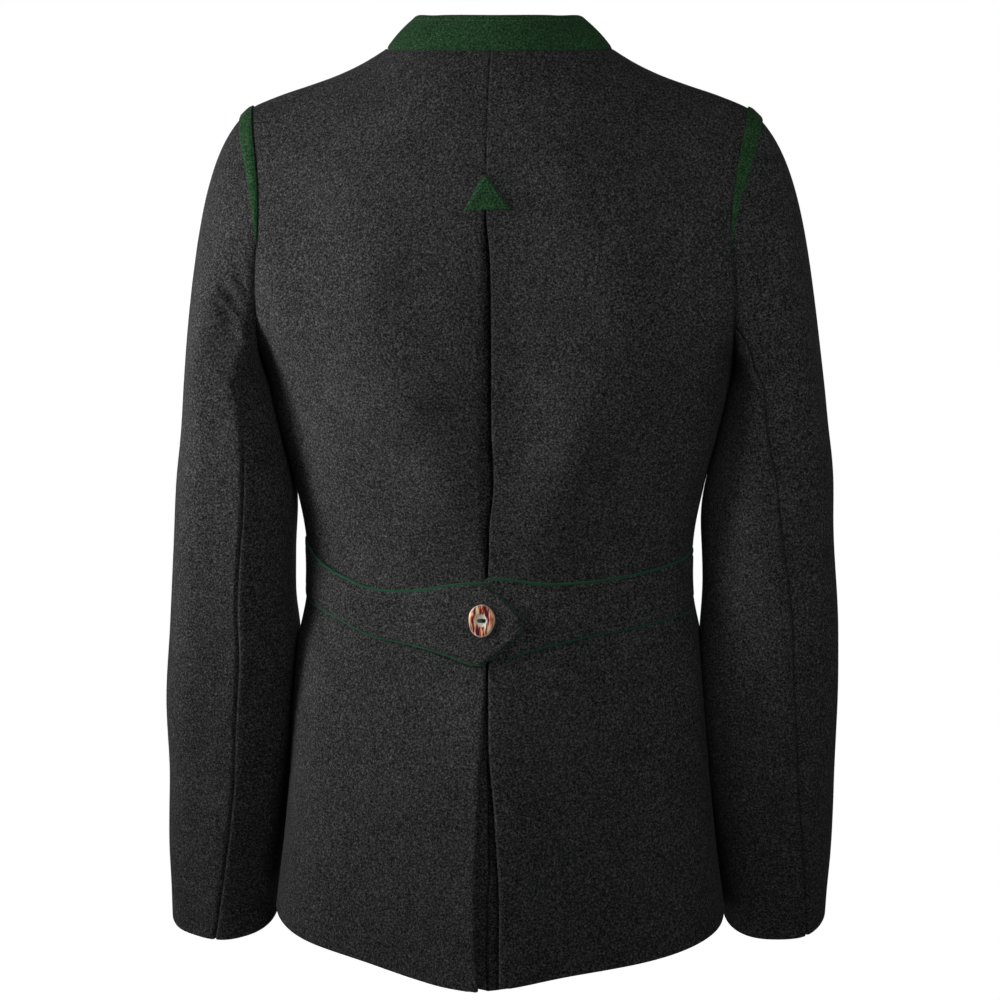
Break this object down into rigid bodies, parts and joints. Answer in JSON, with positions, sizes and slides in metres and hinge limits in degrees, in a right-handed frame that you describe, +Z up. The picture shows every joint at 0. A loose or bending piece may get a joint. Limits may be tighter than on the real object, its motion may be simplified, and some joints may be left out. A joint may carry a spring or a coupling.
{
  "type": "tyrolean loden jacket worn with no wearer",
  "caption": "Hip-length loden jacket, worn form with no wearer: stand collar, shoulder insets, centre-back box pleat under a pointed half belt with a horn button.",
  "frame": {"origin": "on the centre plane at the height of the nape (the centre-back collar seam), on the axis of the neck, where the wearer's shoulders carry the jacket", "axes": "+Z up, +X towards the wearer's left, +Y towards the wearer's back"},
  "size_m": [0.5285, 0.2537, 0.723],
  "materials": {
    "loden": "matte felted wool, charcoal with pale hairs",
    "felt_green": "matte green felt",
    "piping_green": "matte green cord",
    "horn": null
  },
  "bodies": {
    "root": {"panel_back_left": "loden", "panel_front_left": "loden", "sleeve_top_left": "loden", "sleeve_under_left": "loden", "shoulder_inset_left": "felt_green", "belt_left": "loden", "panel_back_right": "loden", "panel_front_right": "loden", "sleeve_top_right": "loden", "sleeve_under_right": "loden", "shoulder_inset_right": "felt_green", "belt_right": "loden", "pleat_underlay": "loden", "collar": "felt_green", "back_triangle": "felt_green", "belt_piping_left": "piping_green", "belt_piping_right_top": "piping_green", "belt_piping_right_bottom": "piping_green", "belt_button": "horn", "front_button_1": "horn", "front_button_2": "horn", "front_button_3": "horn", "front_button_4": "horn", "front_button_5": "horn"}
  },
  "joints": []
}
